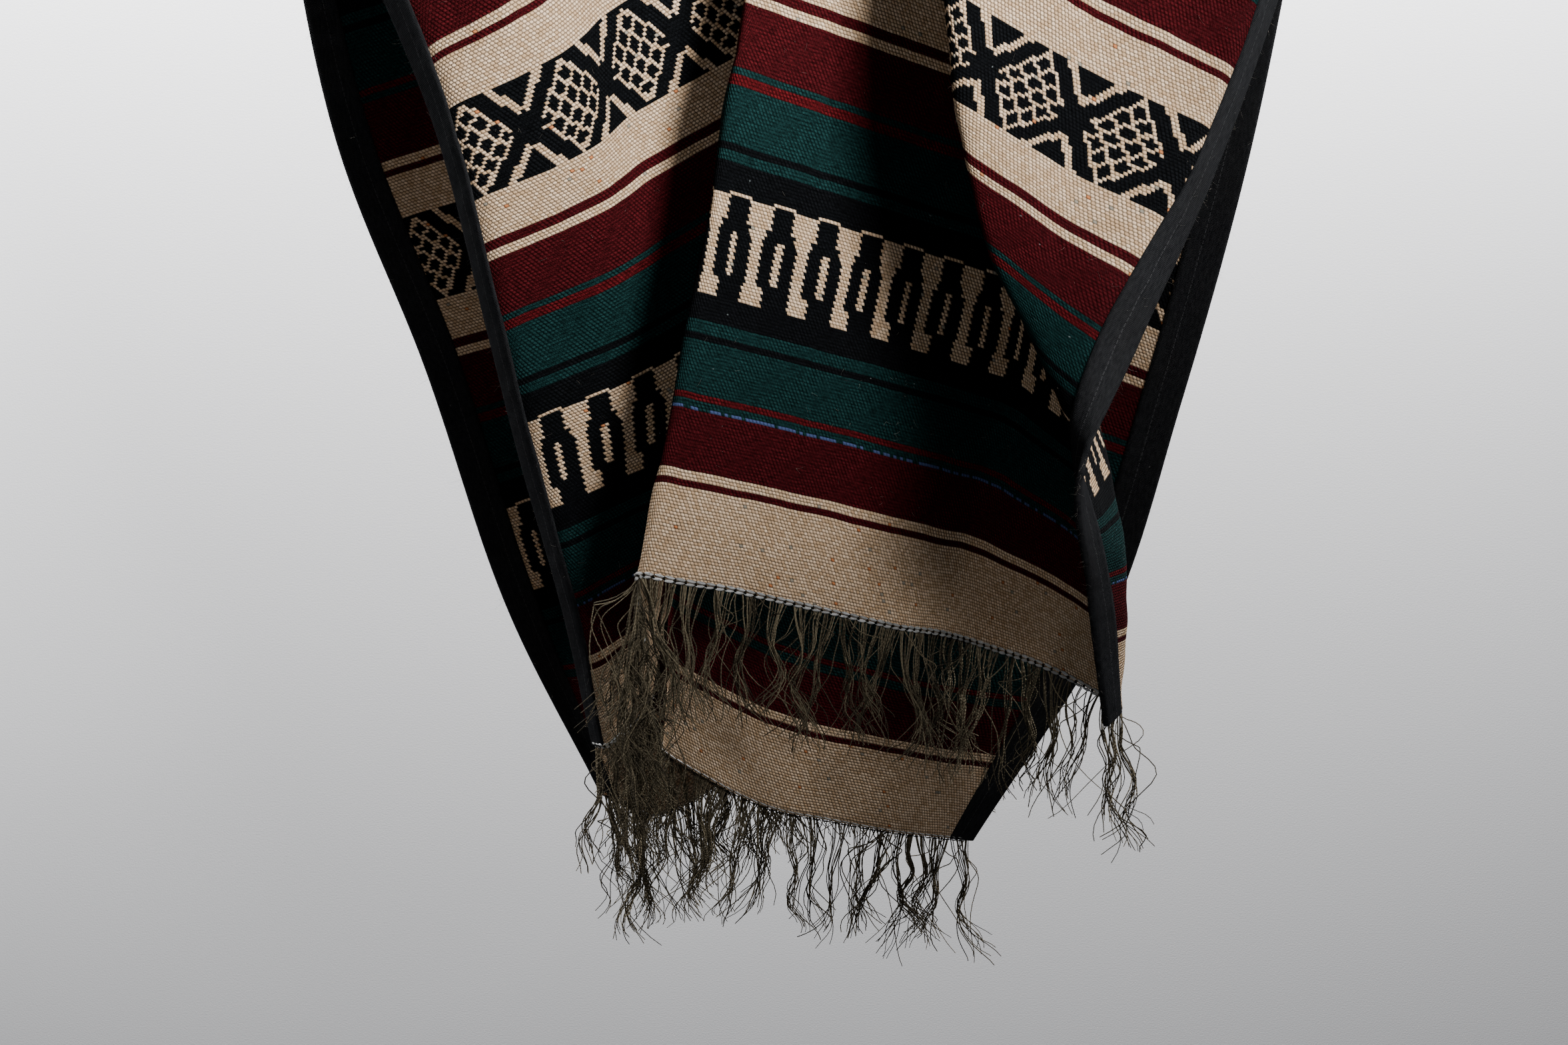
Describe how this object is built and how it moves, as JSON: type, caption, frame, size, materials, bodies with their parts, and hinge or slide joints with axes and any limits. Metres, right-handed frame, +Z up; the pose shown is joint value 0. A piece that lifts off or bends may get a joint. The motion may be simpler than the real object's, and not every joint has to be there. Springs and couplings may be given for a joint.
{
  "type": "fringed poncho on a hanger",
  "caption": "Striped woven poncho folded over a plain hanger, with a neck slit, tape-bound side edges and a warp fringe along both hems",
  "frame": {"origin": "The point inside the hanger's hook that bears on the rail.", "axes": "+Z is up, X runs across the cloth from its left edge to its right edge, the near panel hangs towards -Y and the far panel towards +Y."},
  "size_m": [0.7554, 0.3392, 1.3377],
  "materials": {
    "cloth": "plain and twill woven bands of cream, maroon, teal and black",
    "tape": "matt black folded tape",
    "yarn": "loose olive and brown warp yarn",
    "wood": "satin varnish",
    "steel": "bent wire"
  },
  "bodies": {
    "root": {"panel_near": "cloth", "panel_far": "cloth", "binding_left": "tape", "binding_right": "tape", "binding_neck_left": "tape", "binding_neck_right": "tape", "fringe_near": "yarn", "fringe_far": "yarn", "hanger_arms": "wood", "hanger_hook": "steel"}
  },
  "joints": []
}
